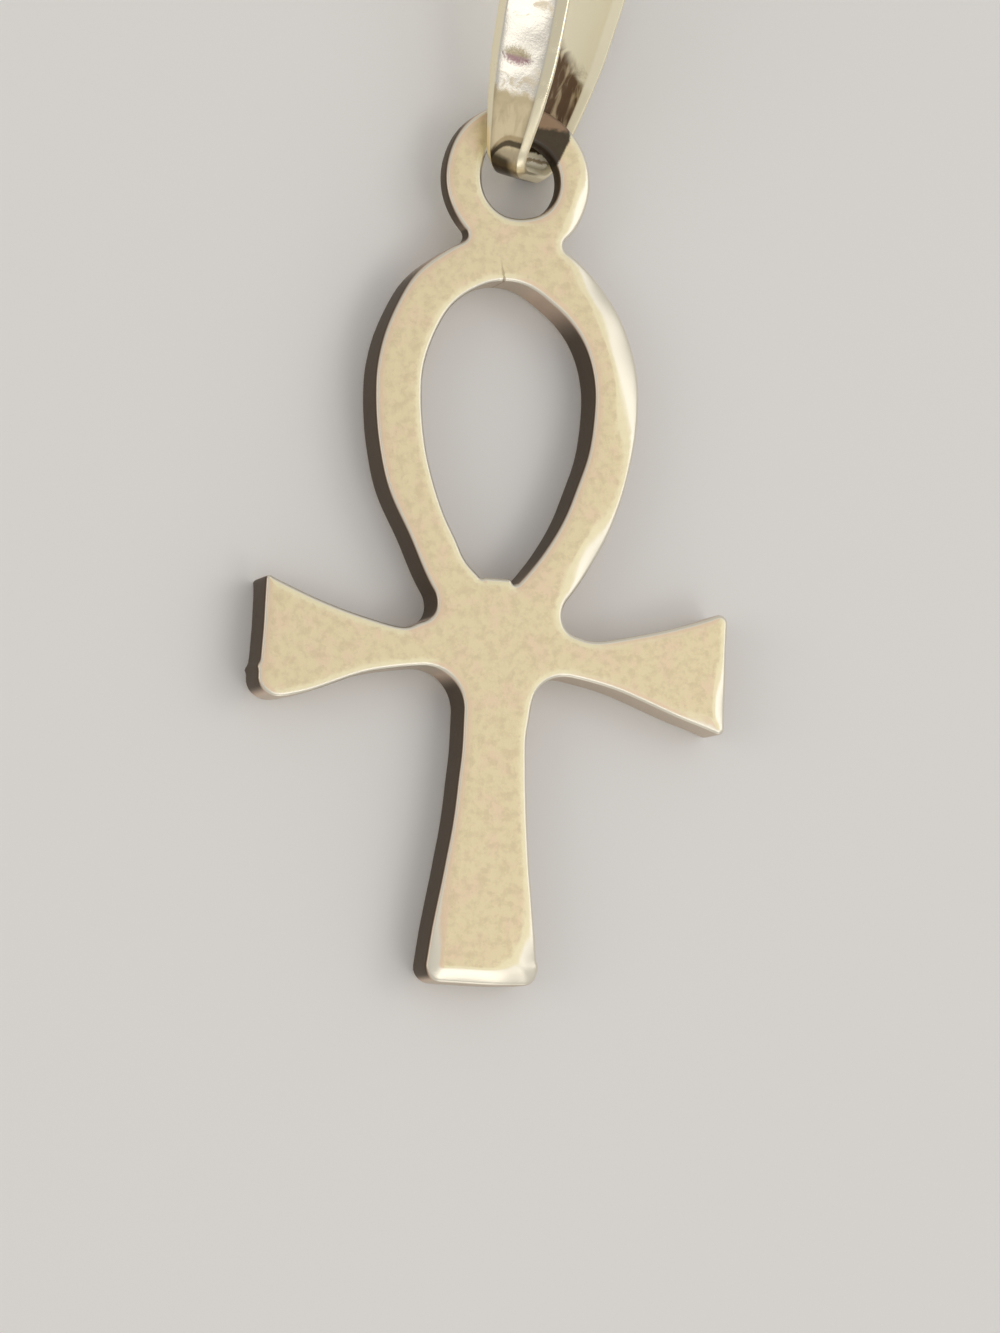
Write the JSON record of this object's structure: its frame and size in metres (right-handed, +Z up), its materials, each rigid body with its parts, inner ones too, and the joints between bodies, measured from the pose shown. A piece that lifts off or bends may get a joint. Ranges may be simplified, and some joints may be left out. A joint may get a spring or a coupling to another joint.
{
  "type": "ankh pendant",
  "caption": "Flat cast ankh with a thin eyelet at the top of its loop and a tapered ribbon bail through the eyelet, lying with its back face up, to be worn on a chain.",
  "frame": {"origin": "on the floor, under the middle of the box that holds the whole pendant as it lies", "axes": "+X to the right across the arms, +Y from the foot of the stem towards the eyelet and the bail, +Z up, out of the back face of the plate"},
  "size_m": [0.0138, 0.0314, 0.0049],
  "materials": {
    "satin_gold": "satin gold with polished edges",
    "polished_gold": "polished gold"
  },
  "bodies": {
    "root": {"ankh_plate": "satin_gold", "bail": "polished_gold"}
  },
  "joints": []
}
